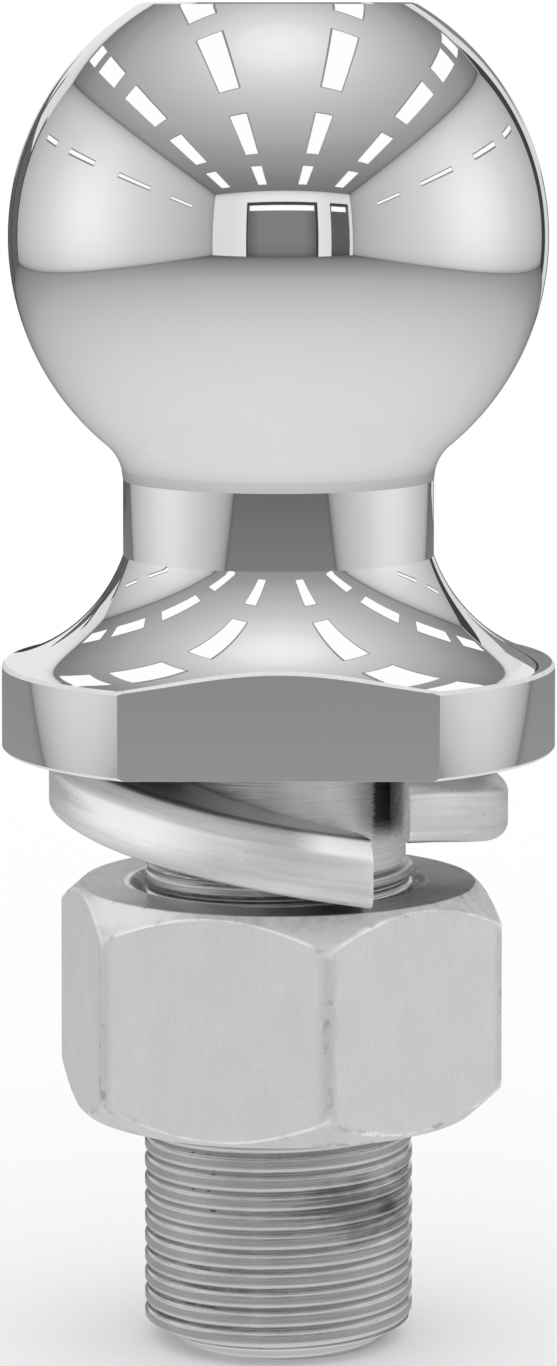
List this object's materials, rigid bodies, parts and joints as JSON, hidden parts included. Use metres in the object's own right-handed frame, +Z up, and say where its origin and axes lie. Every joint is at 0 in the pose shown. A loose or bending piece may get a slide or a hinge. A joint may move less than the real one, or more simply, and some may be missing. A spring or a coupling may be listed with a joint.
{
  "type": "threaded tow ball",
  "caption": "Chromed tow ball on a flanged neck with two wrench flats, its threaded shank carrying a split lock washer and a hexagon nut.",
  "frame": {"origin": "centre of the flange's underside, the seat on the drawbar", "axes": "+Z up the shank's axis towards the ball, the wrench flats face -Y (front) and +Y"},
  "size_m": [0.0522, 0.0508, 0.1265],
  "materials": {
    "chromed_steel": "mirror polished chrome plate, satin on the threaded shank",
    "washer_steel": "zinc plated spring steel, burnished at its edges",
    "nut_steel": "satin zinc plate, bright worn edges"
  },
  "bodies": {
    "ball_stud": {"ball_stud": "chromed_steel"},
    "lock_washer": {"lock_washer": "washer_steel"},
    "hex_nut": {"hex_nut": "nut_steel"}
  },
  "joints": [
    {"name": "washer_slide", "type": "slide", "parent": "ball_stud", "child": "lock_washer", "axis": [0, 0, -1], "range_m": [0, 0.04174]},
    {"name": "nut_turn", "type": "hinge", "parent": "lock_washer", "child": "hex_nut", "pos_m": [0, 0, -0.024], "axis": [0, 0, -1], "range_deg": [0, 8280]}
  ],
  "couplings": [
    {"joint": "washer_slide", "follows": "nut_turn", "m_per_rad": 0.00028875}
  ]
}
